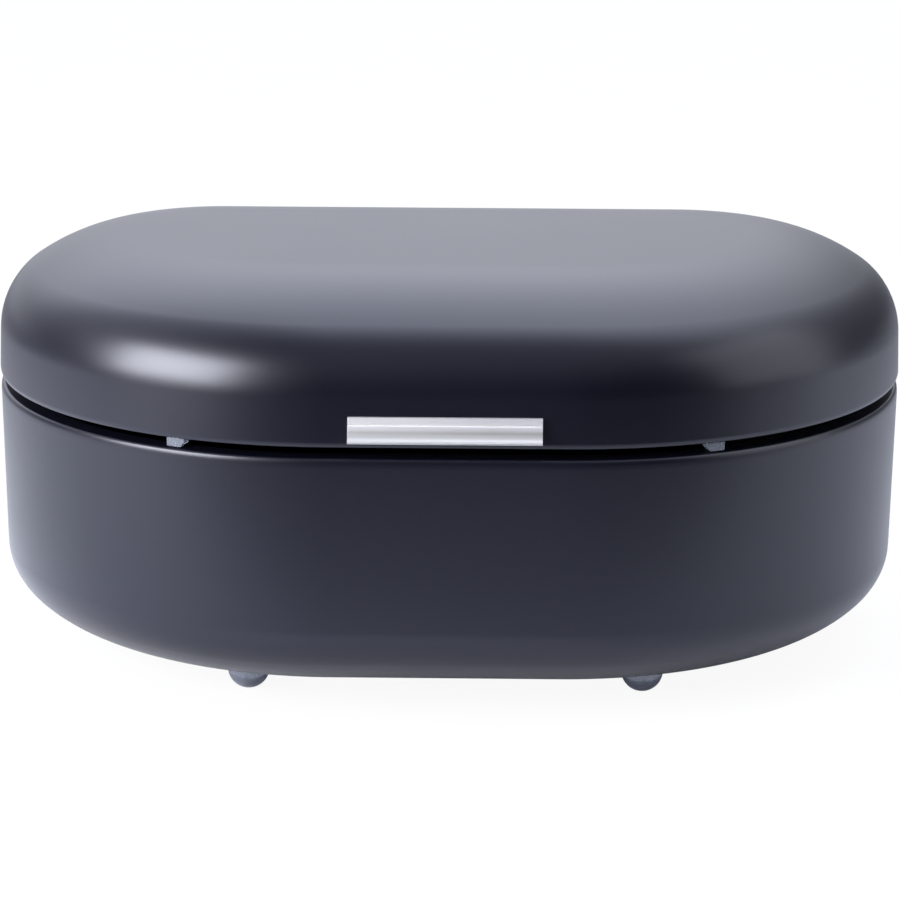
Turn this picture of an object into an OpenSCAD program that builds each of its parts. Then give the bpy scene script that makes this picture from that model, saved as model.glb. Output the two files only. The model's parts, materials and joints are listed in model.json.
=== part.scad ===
// Oval bread bin: a deep pressed tub, a domed hinged lid with an extruded pull,
// two rear stop hinges, push-in lid bumpers and push-in domed feet.
// X is the width, the front faces -Y, Z is up and zero is the table.

/* [Body plan] */
// Straight run of the front wall between its two corners
front_flat_w = 100; // [90:1:150]
// Plan radius of the two front corners, from the front round to the side
front_corner_r = 160; // [148:1:180]
// Plan radius of the two rear corners, from the side round to the back
rear_corner_r = 102; // [92:1:112]

/* [Tub] */
// Height of the tub from its floor to its rim
base_h = 109; // [80:1:150]
// How far in the curve from wall to floor reaches
floor_curve_reach = 40; // [34:1:48]
// How high up the wall that curve starts
floor_curve_rise = 32; // [28:1:40]
// Radius of that curve where it leaves the wall
floor_curve_r = 26; // [20:1:27]
// Outer radius of the bend into the rim flange
tub_rim_r = 3; // [2:0.5:4]
// Width of the rim flange, measured from the outer wall
tub_flange_w = 9; // [8:0.5:14]

/* [Lid] */
// Height of the upright part of the lid wall
lid_wall_h = 19.3; // [17:0.1:30]
// How far in the curve from wall to crown reaches
crown_reach = 69; // [60:1:80]
// Height of the crown above the upright wall
crown_rise = 46; // [40:1:60]
// Radius of the crown curve where it leaves the wall
crown_side_r = 36; // [28:1:38]
// Outer radius of the hem at the lower edge
lid_hem_r = 2.5; // [1.5:0.5:3]
// Width of the turned-in hem flange, measured from the outer wall
lid_flange_w = 8; // [8:0.5:12]
// Gap between the tub rim and the lid hem
seam_gap = 4.5; // [4:0.1:7]
// Angle at which the lid meets its stop
lid_open_angle = 95; // [90:1:105]

/* [Sheet] */
// Thickness of the coated steel sheet of tub and lid
sheet_t = 0.8; // [0.6:0.1:1.2]

/* [Pull] */
// Width of the extruded pull
pull_w = 81.4; // [60:0.2:86]
// Overall height of the pull
pull_h = 10.4; // [9:0.1:13]
// Height of the step where the grip starts, above the lower edge
pull_step_h = 7; // [6:0.1:7.5]
// Thickness of the flat upper strip
pull_plate_t = 1.6; // [1.2:0.1:2]
// Thickness of the grip under the step
pull_grip_t = 3; // [2.8:0.1:3.6]
// How far the lip stands out from the lid wall
pull_lip_reach = 6.4; // [5.5:0.1:9]
// Radius of the hollow above the lip
pull_hollow_r = 5; // [4.4:0.1:7]
// Height of the pull above the lower edge of the lid
pull_lift = 3.5; // [3:0.1:5]
// Distance between the two fixing screws
pull_screw_spacing = 60; // [40:1:64]
// Radius of the screw thread
screw_r = 1.5; // [1.2:0.1:1.6]
// Radius of the pan head
screw_head_r = 2.8; // [2.4:0.1:3.4]
// Height of the pan head
screw_head_h = 1.8; // [1.4:0.1:2.4]

/* [Bumpers] */
// Length of a bumper along the seam
bumper_l = 8.6; // [7:0.1:12]
// Depth of a bumper across the seam
bumper_d = 4.8; // [4.6:0.1:6.4]
// Size of the slope on its lower corner, on the side of the pull
bumper_chamfer = 2.2; // [1:0.1:2.8]
// Setback of the bumper face from the outer wall
bumper_setback = 1.2; // [0.6:0.1:1.6]
// Direction of the bumpers, turned sideways from straight ahead
bumper_angle = 24; // [15:0.5:60]
// Radius of the neck through the hem flange
bumper_neck_r = 1.2; // [1:0.1:1.4]

/* [Feet] */
// Height of the feet below the floor of the tub
foot_h = 12; // [10.5:0.5:18]
// Radius of the domed foot
foot_r = 9.4; // [8:0.1:10]
// Radius of the flat that stands on the table
foot_flat_r = 2.4; // [1.5:0.1:4]
// Distance between the left and right feet
foot_spacing = 176; // [120:1:180]
// Distance from the outer wall to a foot
foot_inset = 53; // [52:1:62]
// Radius of the neck through the floor
foot_neck_r = 3; // [2.5:0.1:4]

/* [Hinges] */
// Distance between the middles of the two hinges
hinge_spacing = 130; // [124:1:140]
// Width of a hinge
hinge_w = 34; // [30:1:40]
// Thickness of the hinge leaves
leaf_t = 1.2; // [1:0.1:1.5]
// Reach of the lower leaf below the hinge axis
tub_leaf_h = 20; // [18:0.5:26]
// Reach of the upper leaf above the hinge axis
lid_leaf_h = 17; // [16:0.5:19]
// Radius of the hinge pin
pin_r = 1.5; // [1.2:0.1:1.8]
// Length of the stop heel, measured from the hinge axis
heel_l = 6.5; // [5.5:0.1:8]
// Distance between the two rivets of a leaf
rivet_spacing = 20; // [18:1:22]
// Distance from a leaf's outer edge to its rivets
rivet_edge = 5.5; // [4.5:0.5:6]
// Radius of the rivet shank
rivet_r = 1.6; // [1.2:0.1:1.8]
// Radius of the rivet head
rivet_head_r = 3.1; // [2.6:0.1:3.4]
// Height of the rivet head
rivet_head_h = 1.2; // [0.8:0.1:1.6]

/* [Air holes] */
// Number of air holes in the back wall of the tub
vent_count = 7; // [3:1:9]
// Distance from hole to hole
vent_pitch = 13; // [10:0.5:14]
// Radius of an air hole
vent_r = 2.5; // [2:0.1:4]
// Depth of the row below the rim of the tub
vent_drop = 32; // [28:1:50]

/* [Hidden] */
$fn = 144;

// Sides of the bin
left = -1;
right = 1;
front = -1;
rear = 1;

// Small allowances
cut = 1;             // how far a cutter runs past the face it cuts
hole_clear = 0.1;    // around necks, screws and rivets in sheet
pin_clear = 0.05;    // between a hinge pin and its knuckles
knuckle_gap = 0.3;   // between neighbouring knuckles
rest_clear = 0.3;    // under the bumpers and at the stop heel

// Levels
rim_z = foot_h + base_h;
hem_z = rim_z + seam_gap;

// Plan
half_w = front_flat_w / 2 + front_corner_r;
front_flat_half = half_w - front_corner_r;
rear_flat_half = half_w - rear_corner_r;

// Hinge axis, outside the back wall and halfway up the seam
knuckle_r = pin_r + pin_clear + leaf_t;
axis_y = rear_corner_r + knuckle_r;
axis_z = rim_z + seam_gap / 2;
swing_r = knuckle_r + knuckle_gap;
knuckle_split = hinge_w / 6;   // from the hinge's middle to the joint between knuckles
leaf_corner_r = 2.5;

// The origin lies under the middle of the whole bin
front_reach = front_corner_r + pull_lip_reach;
rear_reach = axis_y + heel_l;
plan_y = (front_reach - rear_reach) / 2;

// Bumper and foot heads
bumper_h = seam_gap - rest_clear;
bumper_corner = 0.7;
bumper_head_h = 2.4;
bumper_head_over = 0.7;    // how far the head spreads past the neck
bumper_head_r = bumper_neck_r + bumper_head_over;
bumper_neck_y = lid_hem_r + bumper_head_r;    // neck, from the outer wall to the flat of the flange
foot_head_over = 1.4;
foot_head_r = foot_neck_r + foot_head_over;
foot_head_h = 2.2;

// Pull details
pull_lip_tip_r = 0.45;
pull_hollow_drop = 1.3;    // middle of the hollow, below the step
pull_hollow_z = pull_step_h - pull_hollow_drop;
pull_finger_r = 2.4;
pull_finger_drop = 1.4;
pull_finger_shift = 0.4;   // toward the wall from the middle of the underside
pull_finger_x = (pull_plate_t + pull_lip_reach) / 2 - pull_finger_shift;
pull_screw_level = 0.6;    // share of the height of the step
pull_screw_z = pull_step_h * pull_screw_level;
pull_screw_skin = 0.7;     // metal left in front of the screw
pull_screw_depth = pull_grip_t - pull_screw_skin;
screw_slot_w = 0.7;
screw_slot_l = 3;
screw_slot_depth = 0.9;

// Rivet tail inside the sheet
rivet_tail_over = 1;
rivet_tail_r = rivet_r + rivet_tail_over;
rivet_tail_h = 0.8;

// Pin ends
pin_head_over = 0.7;
pin_head_r = pin_r + pin_head_over;
pin_head_h = 0.9;

coat = "#191b21";
bare_steel = "#a9abae";
clear_rubber = "#8f97a8";

module in_plan() {
    translate([0, plan_y, 0]) children();
}

// One quadrant of a disc, between two directions given in degrees
module slice(r, from, to) {
    intersection() {
        circle(r = r);
        polygon([[0, 0], 2 * r * [cos(from), sin(from)], 2 * r * [cos(to), sin(to)]]);
    }
}

// Filled half section of a pressed pan: rim at zero, closed end up.
// It reaches from the middle out to `reach` and lies `skin` inside the outer face.
module pan_fill(reach, wall_h, curve_reach, curve_rise, side_r, rim_r, skin) {
    // radius of the flatter arc that meets the side arc and the flat end
    rise_left = curve_rise - side_r;
    reach_left = curve_reach - side_r;
    end_r = (reach_left * reach_left + curve_rise * curve_rise - side_r * side_r) / (2 * rise_left);
    join = atan2(end_r - curve_rise, reach_left);
    top = wall_h + curve_rise;
    intersection() {
        union() {
            translate([0, skin]) square([reach - curve_reach, top - 2 * skin]);
            translate([reach - curve_reach, top - end_r]) slice(end_r - skin, join, 90);
            translate([reach - side_r, wall_h]) slice(side_r - skin, 0, 90);
            translate([0, skin]) square([reach - rim_r, wall_h - skin]);
            translate([0, rim_r]) square([reach - side_r / 2, wall_h]);
            translate([0, rim_r]) square([reach - skin, wall_h - rim_r]);
            translate([reach - rim_r, rim_r]) circle(r = rim_r - skin);
        }
        translate([0, skin]) square([reach, top]);
    }
}

// Half section of the same pan as a sheet, open inside its rim flange
module pan_section(reach, wall_h, curve_reach, curve_rise, side_r, rim_r, flange_w) {
    difference() {
        pan_fill(reach, wall_h, curve_reach, curve_rise, side_r, rim_r, 0);
        pan_fill(reach, wall_h, curve_reach, curve_rise, side_r, rim_r, sheet_t);
        translate([-cut, -cut]) square([reach - flange_w + cut, sheet_t + 2 * cut]);
    }
}

// One corner of the plan: turns a half section through a right angle
module corner(x, start, reach) {
    $reach = reach;
    translate([x, 0, 0]) rotate([0, 0, start]) rotate_extrude(angle = 90) children();
}

// A straight length along X: section X becomes Y and section Y becomes Z
module along_x(length) {
    translate([-length / 2, 0, 0]) rotate([90, 0, 90]) linear_extrude(length) children();
}

module straight(half_length, reach) {
    $reach = reach;
    along_x(2 * half_length) children();
}

// Carries a half section all round the plan; the section reads $reach
module around_plan() {
    corner(front_flat_half, -90, front_corner_r) children();
    corner(-front_flat_half, 180, front_corner_r) children();
    corner(rear_flat_half, 0, rear_corner_r) children();
    corner(-rear_flat_half, 90, rear_corner_r) children();
    mirror([0, 1, 0]) straight(front_flat_half, front_corner_r) children();
    straight(rear_flat_half, rear_corner_r) children();
}

// Half section of a domed head with its flat side at zero
module dome_section(r, h) {
    ball_r = (r * r + h * h) / (2 * h);
    intersection() {
        translate([0, h - ball_r]) circle(r = ball_r);
        square([r, h]);
    }
}

module dome(r, h) {
    rotate_extrude() dome_section(r, h);
}

// Places, each with its own Z pointing out of the bin

module at_foot(side, end) {
    wall_y = end == front ? -front_corner_r : rear_corner_r;
    translate([side * foot_spacing / 2, wall_y - end * foot_inset, 0]) children();
}

module at_bumper(side) {
    translate([side * front_flat_half, 0, hem_z])
        rotate([0, 0, side * bumper_angle])
        translate([0, -front_corner_r, 0]) children();
}

module at_pull_screw(side) {
    translate([side * pull_screw_spacing / 2, -front_corner_r, hem_z + pull_lift + pull_screw_z])
        rotate([90, 0, 0]) children();
}

module at_hinge(side) {
    translate([side * hinge_spacing / 2, axis_y, axis_z]) children();
}

// Rivets of one leaf, in the hinge's own place; `z` is their height from the axis
module at_rivets(z) {
    for (x = [-rivet_spacing / 2, rivet_spacing / 2])
        translate([x, -knuckle_r, z]) rotate([-90, 0, 0]) children();
}

module at_tub_rivets() {
    at_rivets(rivet_edge - tub_leaf_h) children();
}

module at_lid_rivets() {
    at_rivets(lid_leaf_h - rivet_edge) children();
}

// A hole through one sheet, along the place's Z
module sheet_hole(r) {
    translate([0, 0, -sheet_t - cut]) cylinder(r = r + hole_clear, h = sheet_t + 2 * cut);
}

module vents() {
    for (i = [0 : vent_count - 1])
        translate([(i - (vent_count - 1) / 2) * vent_pitch, rear_corner_r, rim_z - vent_drop])
            rotate([-90, 0, 0]) sheet_hole(vent_r - hole_clear);
}

// The tub: floor, walls and rim flange pressed from one sheet
module base_tub() {
    color(coat) in_plan() difference() {
        translate([0, 0, rim_z]) mirror([0, 0, 1]) around_plan()
            pan_section($reach, base_h - floor_curve_rise, floor_curve_reach,
                floor_curve_rise, floor_curve_r, tub_rim_r, tub_flange_w);
        for (side = [left, right]) {
            for (end = [front, rear])
                at_foot(side, end) translate([0, 0, foot_h]) mirror([0, 0, 1]) sheet_hole(foot_neck_r);
            at_hinge(side) at_tub_rivets() sheet_hole(rivet_r);
        }
        vents();
    }
}

// The lid: domed crown, upright wall and a turned-in hem
module lid_shell() {
    color(coat) in_plan() difference() {
        translate([0, 0, hem_z]) around_plan()
            pan_section($reach, lid_wall_h, crown_reach,
                crown_rise, crown_side_r, lid_hem_r, lid_flange_w);
        for (side = [left, right]) {
            at_hinge(side) at_lid_rivets() sheet_hole(rivet_r);
            at_pull_screw(side) sheet_hole(screw_r);
            at_bumper(side) translate([0, bumper_neck_y, 0])
                mirror([0, 0, 1]) sheet_hole(bumper_neck_r);
        }
    }
}

// Section of the pull: X is how far it stands out, Y is height above its lower edge
module pull_section() {
    difference() {
        union() {
            square([pull_plate_t, pull_h]);
            square([pull_grip_t, pull_step_h]);
            square([pull_lip_reach - pull_lip_tip_r, pull_hollow_z]);
            translate([pull_lip_reach - pull_lip_tip_r, pull_lip_tip_r]) circle(r = pull_lip_tip_r);
        }
        translate([pull_grip_t + pull_hollow_r, pull_hollow_z]) circle(r = pull_hollow_r);
        translate([pull_finger_x, -pull_finger_drop]) circle(r = pull_finger_r);
    }
}

// Extruded pull screwed to the front wall of the lid
module lid_pull() {
    color("silver") in_plan() difference() {
        translate([0, -front_corner_r, hem_z + pull_lift]) mirror([0, 1, 0])
            along_x(pull_w) pull_section();
        for (side = [left, right])
            at_pull_screw(side) translate([0, 0, -cut])
                cylinder(r = screw_r + pin_clear, h = pull_screw_depth + cut);
    }
}

// Pan-head screw driven from inside the lid
module pull_screw(side) {
    color(bare_steel) in_plan() at_pull_screw(side) difference() {
        union() {
            translate([0, 0, -sheet_t]) cylinder(r = screw_r, h = sheet_t + pull_screw_depth - hole_clear);
            translate([0, 0, -sheet_t]) mirror([0, 0, 1]) dome(screw_head_r, screw_head_h);
        }
        for (turn = [0, 90])
            rotate([0, 0, turn])
                translate([-screw_slot_l / 2, -screw_slot_w / 2, -sheet_t - screw_head_h - cut])
                cube([screw_slot_l, screw_slot_w, screw_slot_depth + cut]);
    }
}

module pull_screw_left() { pull_screw(left); }
module pull_screw_right() { pull_screw(right); }

// Face of a bumper, top edge at zero; the slope is on the -X side
module bumper_face() {
    l = bumper_l / 2;
    polygon([[-l, 0], [l - bumper_corner, 0], [l, -bumper_corner], [l, bumper_corner - bumper_h],
        [l - bumper_corner, -bumper_h], [bumper_chamfer - l, -bumper_h], [-l, bumper_chamfer - bumper_h]]);
}

// Soft bumper pushed up through the hem flange of the lid
module bumper(side) {
    color(clear_rubber) in_plan() at_bumper(side) mirror([side == left ? 1 : 0, 0, 0]) {
        translate([0, bumper_setback + bumper_d, 0])
            rotate([90, 0, 0]) linear_extrude(bumper_d) bumper_face();
        translate([0, bumper_neck_y, -cut]) cylinder(r = bumper_neck_r, h = sheet_t + 2 * cut);
        translate([0, bumper_neck_y, sheet_t]) dome(bumper_head_r, bumper_head_h);
    }
}

module bumper_left() { bumper(left); }
module bumper_right() { bumper(right); }

// Half section of a foot: flat patch, dome, neck through the floor and retaining head
module foot_section() {
    centre_z = sqrt(foot_r * foot_r - foot_flat_r * foot_flat_r);
    intersection() {
        translate([0, centre_z]) circle(r = foot_r);
        square([foot_r, centre_z]);
    }
    translate([0, centre_z]) square([foot_r, foot_h - centre_z]);
    square([foot_neck_r, foot_h + sheet_t]);
    translate([0, foot_h + sheet_t]) dome_section(foot_head_r, foot_head_h);
}

// Domed foot pushed up through the floor of the tub
module foot(side, end) {
    color(clear_rubber) in_plan() at_foot(side, end) rotate_extrude() foot_section();
}

module foot_front_left() { foot(left, front); }
module foot_front_right() { foot(right, front); }
module foot_rear_left() { foot(left, rear); }
module foot_rear_right() { foot(right, rear); }

// Outline of a leaf's flat plate, above the swing of the knuckles
module leaf_outline(height) {
    half = hinge_w / 2;
    translate([-half, swing_r]) square([hinge_w, height - swing_r - leaf_corner_r]);
    translate([leaf_corner_r - half, swing_r]) square([hinge_w - 2 * leaf_corner_r, height - swing_r]);
    for (x = [leaf_corner_r - half, half - leaf_corner_r])
        translate([x, height - leaf_corner_r]) circle(r = leaf_corner_r);
}

module leaf_plate(height) {
    translate([0, leaf_t - knuckle_r, 0]) rotate([90, 0, 0]) linear_extrude(leaf_t) leaf_outline(height);
}

// Section of a knuckle with the neck that rises from it to the plate
module knuckle_section() {
    circle(r = knuckle_r);
    translate([-knuckle_r, 0]) square([leaf_t, swing_r]);
}

// Stop heel, drawn where it lies on the lower leaf and turned back to rest
module heel_section() {
    rotate(lid_open_angle) translate([leaf_t + rest_clear - knuckle_r, -heel_l]) square([leaf_t, heel_l]);
}

module pin_bore() {
    circle(r = pin_r + pin_clear);
}

// Lower leaf with the two outer knuckles
module hinge_tub_leaf(side) {
    outer_l = hinge_w / 2 - knuckle_split - knuckle_gap / 2;
    color(bare_steel) in_plan() at_hinge(side) difference() {
        mirror([0, 0, 1]) {
            leaf_plate(tub_leaf_h);
            for (end = [left, right])
                translate([end * (hinge_w - outer_l) / 2, 0, 0]) along_x(outer_l)
                    difference() {
                        knuckle_section();
                        pin_bore();
                    }
        }
        at_tub_rivets() translate([0, 0, sheet_t]) sheet_hole(rivet_r);
    }
}

// Upper leaf with the middle knuckle and the stop heel
module hinge_lid_leaf(side) {
    color(bare_steel) in_plan() at_hinge(side) difference() {
        union() {
            leaf_plate(lid_leaf_h);
            along_x(2 * knuckle_split - knuckle_gap) difference() {
                union() {
                    knuckle_section();
                    heel_section();
                }
                pin_bore();
            }
        }
        at_lid_rivets() translate([0, 0, sheet_t]) sheet_hole(rivet_r);
    }
}

// Hinge pin with domed ends
module hinge_pin(side) {
    half = hinge_w / 2 + hole_clear;
    color(bare_steel) in_plan() at_hinge(side) rotate([0, 90, 0]) {
        translate([0, 0, -half]) cylinder(r = pin_r, h = 2 * half);
        translate([0, 0, half]) dome(pin_head_r, pin_head_h);
        translate([0, 0, -half]) mirror([0, 0, 1]) dome(pin_head_r, pin_head_h);
    }
}

// Rivet: domed head on the leaf, shank through both sheets, flat tail inside
module rivet() {
    translate([0, 0, -sheet_t]) cylinder(r = rivet_r, h = sheet_t + leaf_t);
    translate([0, 0, leaf_t]) dome(rivet_head_r, rivet_head_h);
    translate([0, 0, -sheet_t]) mirror([0, 0, 1]) dome(rivet_tail_r, rivet_tail_h);
}

module hinge_tub_rivets(side) {
    color(bare_steel) in_plan() at_hinge(side) at_tub_rivets() rivet();
}

module hinge_lid_rivets(side) {
    color(bare_steel) in_plan() at_hinge(side) at_lid_rivets() rivet();
}

module hinge_left_tub_leaf() { hinge_tub_leaf(left); }
module hinge_left_lid_leaf() { hinge_lid_leaf(left); }
module hinge_left_pin() { hinge_pin(left); }
module hinge_left_tub_rivets() { hinge_tub_rivets(left); }
module hinge_left_lid_rivets() { hinge_lid_rivets(left); }
module hinge_right_tub_leaf() { hinge_tub_leaf(right); }
module hinge_right_lid_leaf() { hinge_lid_leaf(right); }
module hinge_right_pin() { hinge_pin(right); }
module hinge_right_tub_rivets() { hinge_tub_rivets(right); }
module hinge_right_lid_rivets() { hinge_lid_rivets(right); }

base_tub();
lid_shell();
lid_pull();
pull_screw_left();
pull_screw_right();
bumper_left();
bumper_right();
foot_front_left();
foot_front_right();
foot_rear_left();
foot_rear_right();
hinge_left_tub_leaf();
hinge_left_lid_leaf();
hinge_left_pin();
hinge_left_tub_rivets();
hinge_left_lid_rivets();
hinge_right_tub_leaf();
hinge_right_lid_leaf();
hinge_right_pin();
hinge_right_tub_rivets();
hinge_right_lid_rivets();
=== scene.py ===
import json
import math

import bmesh
import bpy
from bpy.props import FloatProperty, FloatVectorProperty, IntProperty, PointerProperty
from mathutils import Matrix, Vector


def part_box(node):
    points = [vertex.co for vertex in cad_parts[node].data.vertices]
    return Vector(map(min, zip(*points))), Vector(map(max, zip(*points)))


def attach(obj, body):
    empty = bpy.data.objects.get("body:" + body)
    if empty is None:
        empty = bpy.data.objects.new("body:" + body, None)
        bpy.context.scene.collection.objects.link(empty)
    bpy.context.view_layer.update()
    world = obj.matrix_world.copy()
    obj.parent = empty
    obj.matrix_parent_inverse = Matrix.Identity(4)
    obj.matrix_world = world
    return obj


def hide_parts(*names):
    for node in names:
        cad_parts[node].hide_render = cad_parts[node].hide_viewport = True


bl_info = {
    "name": "Bread bin",
    "version": (1, 0, 0),
    "blender": (4, 5, 0),
    "location": "View3D > Sidebar > Bread bin",
    "description": "Dresses an oval bread bin: coat, pull, bumpers, feet, hinges and a studio",
    "category": "Object",
}

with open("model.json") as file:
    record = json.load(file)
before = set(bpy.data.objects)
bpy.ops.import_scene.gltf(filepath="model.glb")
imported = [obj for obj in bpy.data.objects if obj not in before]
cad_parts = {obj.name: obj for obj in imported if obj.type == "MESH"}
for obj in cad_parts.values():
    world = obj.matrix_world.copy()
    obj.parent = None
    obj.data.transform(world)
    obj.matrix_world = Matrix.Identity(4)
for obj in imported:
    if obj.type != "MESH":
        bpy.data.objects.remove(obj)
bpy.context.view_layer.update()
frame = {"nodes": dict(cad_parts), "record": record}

MM = 0.001
TOUCH = 0.1 * MM       # two places closer than this count as one
MERGE = 0.002 * MM     # points closer than this become one
PUNCH_L = 4 * MM       # length of a hole cutter
HOLE_CLEAR = 0.1 * MM  # around necks and stems
FLAT_ANGLE = math.radians(0.5)    # faces that turn less than this are one flat face
SMOOTH_ANGLE = math.radians(40)   # turned rubber is smooth over edges up to this angle
WHITE = (1, 1, 1, 1)
UP = Vector((0, 0, 1))
ALONG = Vector((1, 0, 0))
FORWARD = Vector((0, -1, 0))
# radius and turn in degrees of the bends from the wall towards the flange; the last one ends flat
RIM_BENDS = ((30 * MM, 4), (6.6 * MM, 13), (1.7 * MM, 73))
HEM_BENDS = ((4 * MM, 30), (1.1 * MM, 60))

# How many straight steps draw each curve
FRONT_STEPS = 48    # a front corner of the plan
REAR_STEPS = 36     # a rear corner of the plan
END_STEPS = 14      # the wide arc next to the flat end of a pan
SIDE_STEPS = 20     # the tighter arc next to its wall
INNER_STEPS = 8     # one bend, inside
OUTER_STEPS = 10    # one bend, outside
HOLE_STEPS = 48
DOME_STEPS = 10
FOOT_STEPS = 64     # once round a foot
STEM_STEPS = 32     # once round a stem

SIDES = ("left", "right")
FEET = ("front_left", "front_right", "rear_left", "rear_right")

PULL_LOW, PULL_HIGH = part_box("lid_pull")
LID_LOW, LID_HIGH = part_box("lid_shell")
TUB_LOW, TUB_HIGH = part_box("base_tub")
FOOT_LOW, FOOT_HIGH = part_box("foot_front_left")


# ---------------------------------------------------------------- sizes and colours

class BREADBIN_PG_shells(bpy.types.PropertyGroup):
    """Plan and sections of the pressed tub and lid"""

    front_r: FloatProperty(
        name="Front corners", description="Plan radius of the two front corners", unit="LENGTH",
        default=160 * MM, min=100 * MM, max=200 * MM)
    rear_r: FloatProperty(
        name="Rear corners", description="Plan radius of the two rear corners", unit="LENGTH",
        default=102 * MM, min=80 * MM, max=130 * MM)
    sheet_t: FloatProperty(
        name="Sheet", description="Thickness of the coated sheet", unit="LENGTH",
        default=0.8 * MM, min=0.4 * MM, max=2 * MM)
    floor_reach: FloatProperty(
        name="Floor curve reach", description="How far in the floor curve of the tub reaches",
        unit="LENGTH", default=40 * MM, min=30 * MM, max=50 * MM)
    floor_rise: FloatProperty(
        name="Floor curve rise", description="How high up the wall the floor curve starts",
        unit="LENGTH", default=32 * MM, min=27 * MM, max=40 * MM)
    floor_r: FloatProperty(
        name="Floor curve radius", description="Radius of the floor curve at the wall", unit="LENGTH",
        default=26 * MM, min=20 * MM, max=27 * MM)
    rim_flange_w: FloatProperty(
        name="Rim flange", description="Width of the rim flange, from the outer wall", unit="LENGTH",
        default=9 * MM, min=6 * MM, max=15 * MM)
    crown_reach: FloatProperty(
        name="Crown curve reach", description="How far in the crown curve of the lid reaches",
        unit="LENGTH", default=69 * MM, min=50 * MM, max=80 * MM)
    crown_rise: FloatProperty(
        name="Crown curve rise", description="Height of the crown above the upright wall",
        unit="LENGTH", default=46 * MM, min=40 * MM, max=60 * MM)
    crown_r: FloatProperty(
        name="Crown curve radius", description="Radius of the crown curve at the wall", unit="LENGTH",
        default=36 * MM, min=25 * MM, max=38 * MM)
    hem_flange_w: FloatProperty(
        name="Hem flange", description="Width of the hem flange, from the outer wall", unit="LENGTH",
        default=8 * MM, min=6 * MM, max=15 * MM)
    tub_lean: FloatProperty(
        name="Tub draft", description="Draft angle of the wall of the tub", unit="ROTATION",
        default=math.radians(0.5), min=0, max=math.radians(5))
    lid_lean: FloatProperty(
        name="Lid draft", description="Draft angle of the wall of the lid", unit="ROTATION",
        default=math.radians(2.4), min=0, max=math.radians(6))
    edge_r: FloatProperty(
        name="Edge radius", description="Rounding of the coated cut edges", unit="LENGTH",
        default=0.2 * MM, min=0.05 * MM, max=0.35 * MM)
    stem_inset: FloatProperty(
        name="Stem inset", description="From the outer wall of the lid to the stem of a bumper",
        unit="LENGTH", default=4.4 * MM, min=3 * MM, max=6 * MM)
    rivet_spacing: FloatProperty(
        name="Rivet spacing", description="Distance between the two rivets of a leaf", unit="LENGTH",
        default=20 * MM, min=15 * MM, max=25 * MM)
    rivet_hole_r: FloatProperty(
        name="Rivet hole", description="Radius of the rivet and screw holes", unit="LENGTH",
        default=1.7 * MM, min=1 * MM, max=3 * MM)
    vent_count: IntProperty(
        name="Air holes", description="Number of air holes in the back of the tub",
        default=7, min=1, max=11)
    vent_pitch: FloatProperty(
        name="Air hole pitch", description="Distance from air hole to air hole", unit="LENGTH",
        default=13 * MM, min=8 * MM, max=15 * MM)
    vent_r: FloatProperty(
        name="Air hole radius", description="Radius of an air hole", unit="LENGTH",
        default=2.5 * MM, min=1 * MM, max=4 * MM)
    vent_drop: FloatProperty(
        name="Air hole depth", description="Depth of the row below the rim of the tub", unit="LENGTH",
        default=32 * MM, min=20 * MM, max=50 * MM)


class BREADBIN_PG_coat(bpy.types.PropertyGroup):
    """Satin powder coat of the tub and the lid"""

    colour: FloatVectorProperty(
        name="Colour", description="Colour of the coat", subtype="COLOR",
        default=(0.0010, 0.0012, 0.0052), min=0, max=1)
    roughness: FloatProperty(
        name="Roughness", description="Roughness of the satin coat", subtype="FACTOR",
        default=0.33, min=0, max=1)
    tint: FloatVectorProperty(
        name="Gloss tint", description="Tint of the gloss of the coat", subtype="COLOR",
        default=(0.85, 0.87, 1.0), min=0, max=1)
    peel_size: FloatProperty(
        name="Orange peel", description="Width of one ripple of the coat", unit="LENGTH",
        default=1.6 * MM, min=0.1 * MM, max=10 * MM)
    peel_depth: FloatProperty(
        name="Peel depth", description="Height of the ripples of the coat", unit="LENGTH",
        default=0.006 * MM, min=0, max=0.1 * MM)
    grain_size: FloatProperty(
        name="Powder grain", description="Width of one grain of the powder", unit="LENGTH",
        default=0.35 * MM, min=0.05 * MM, max=2 * MM)


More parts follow.
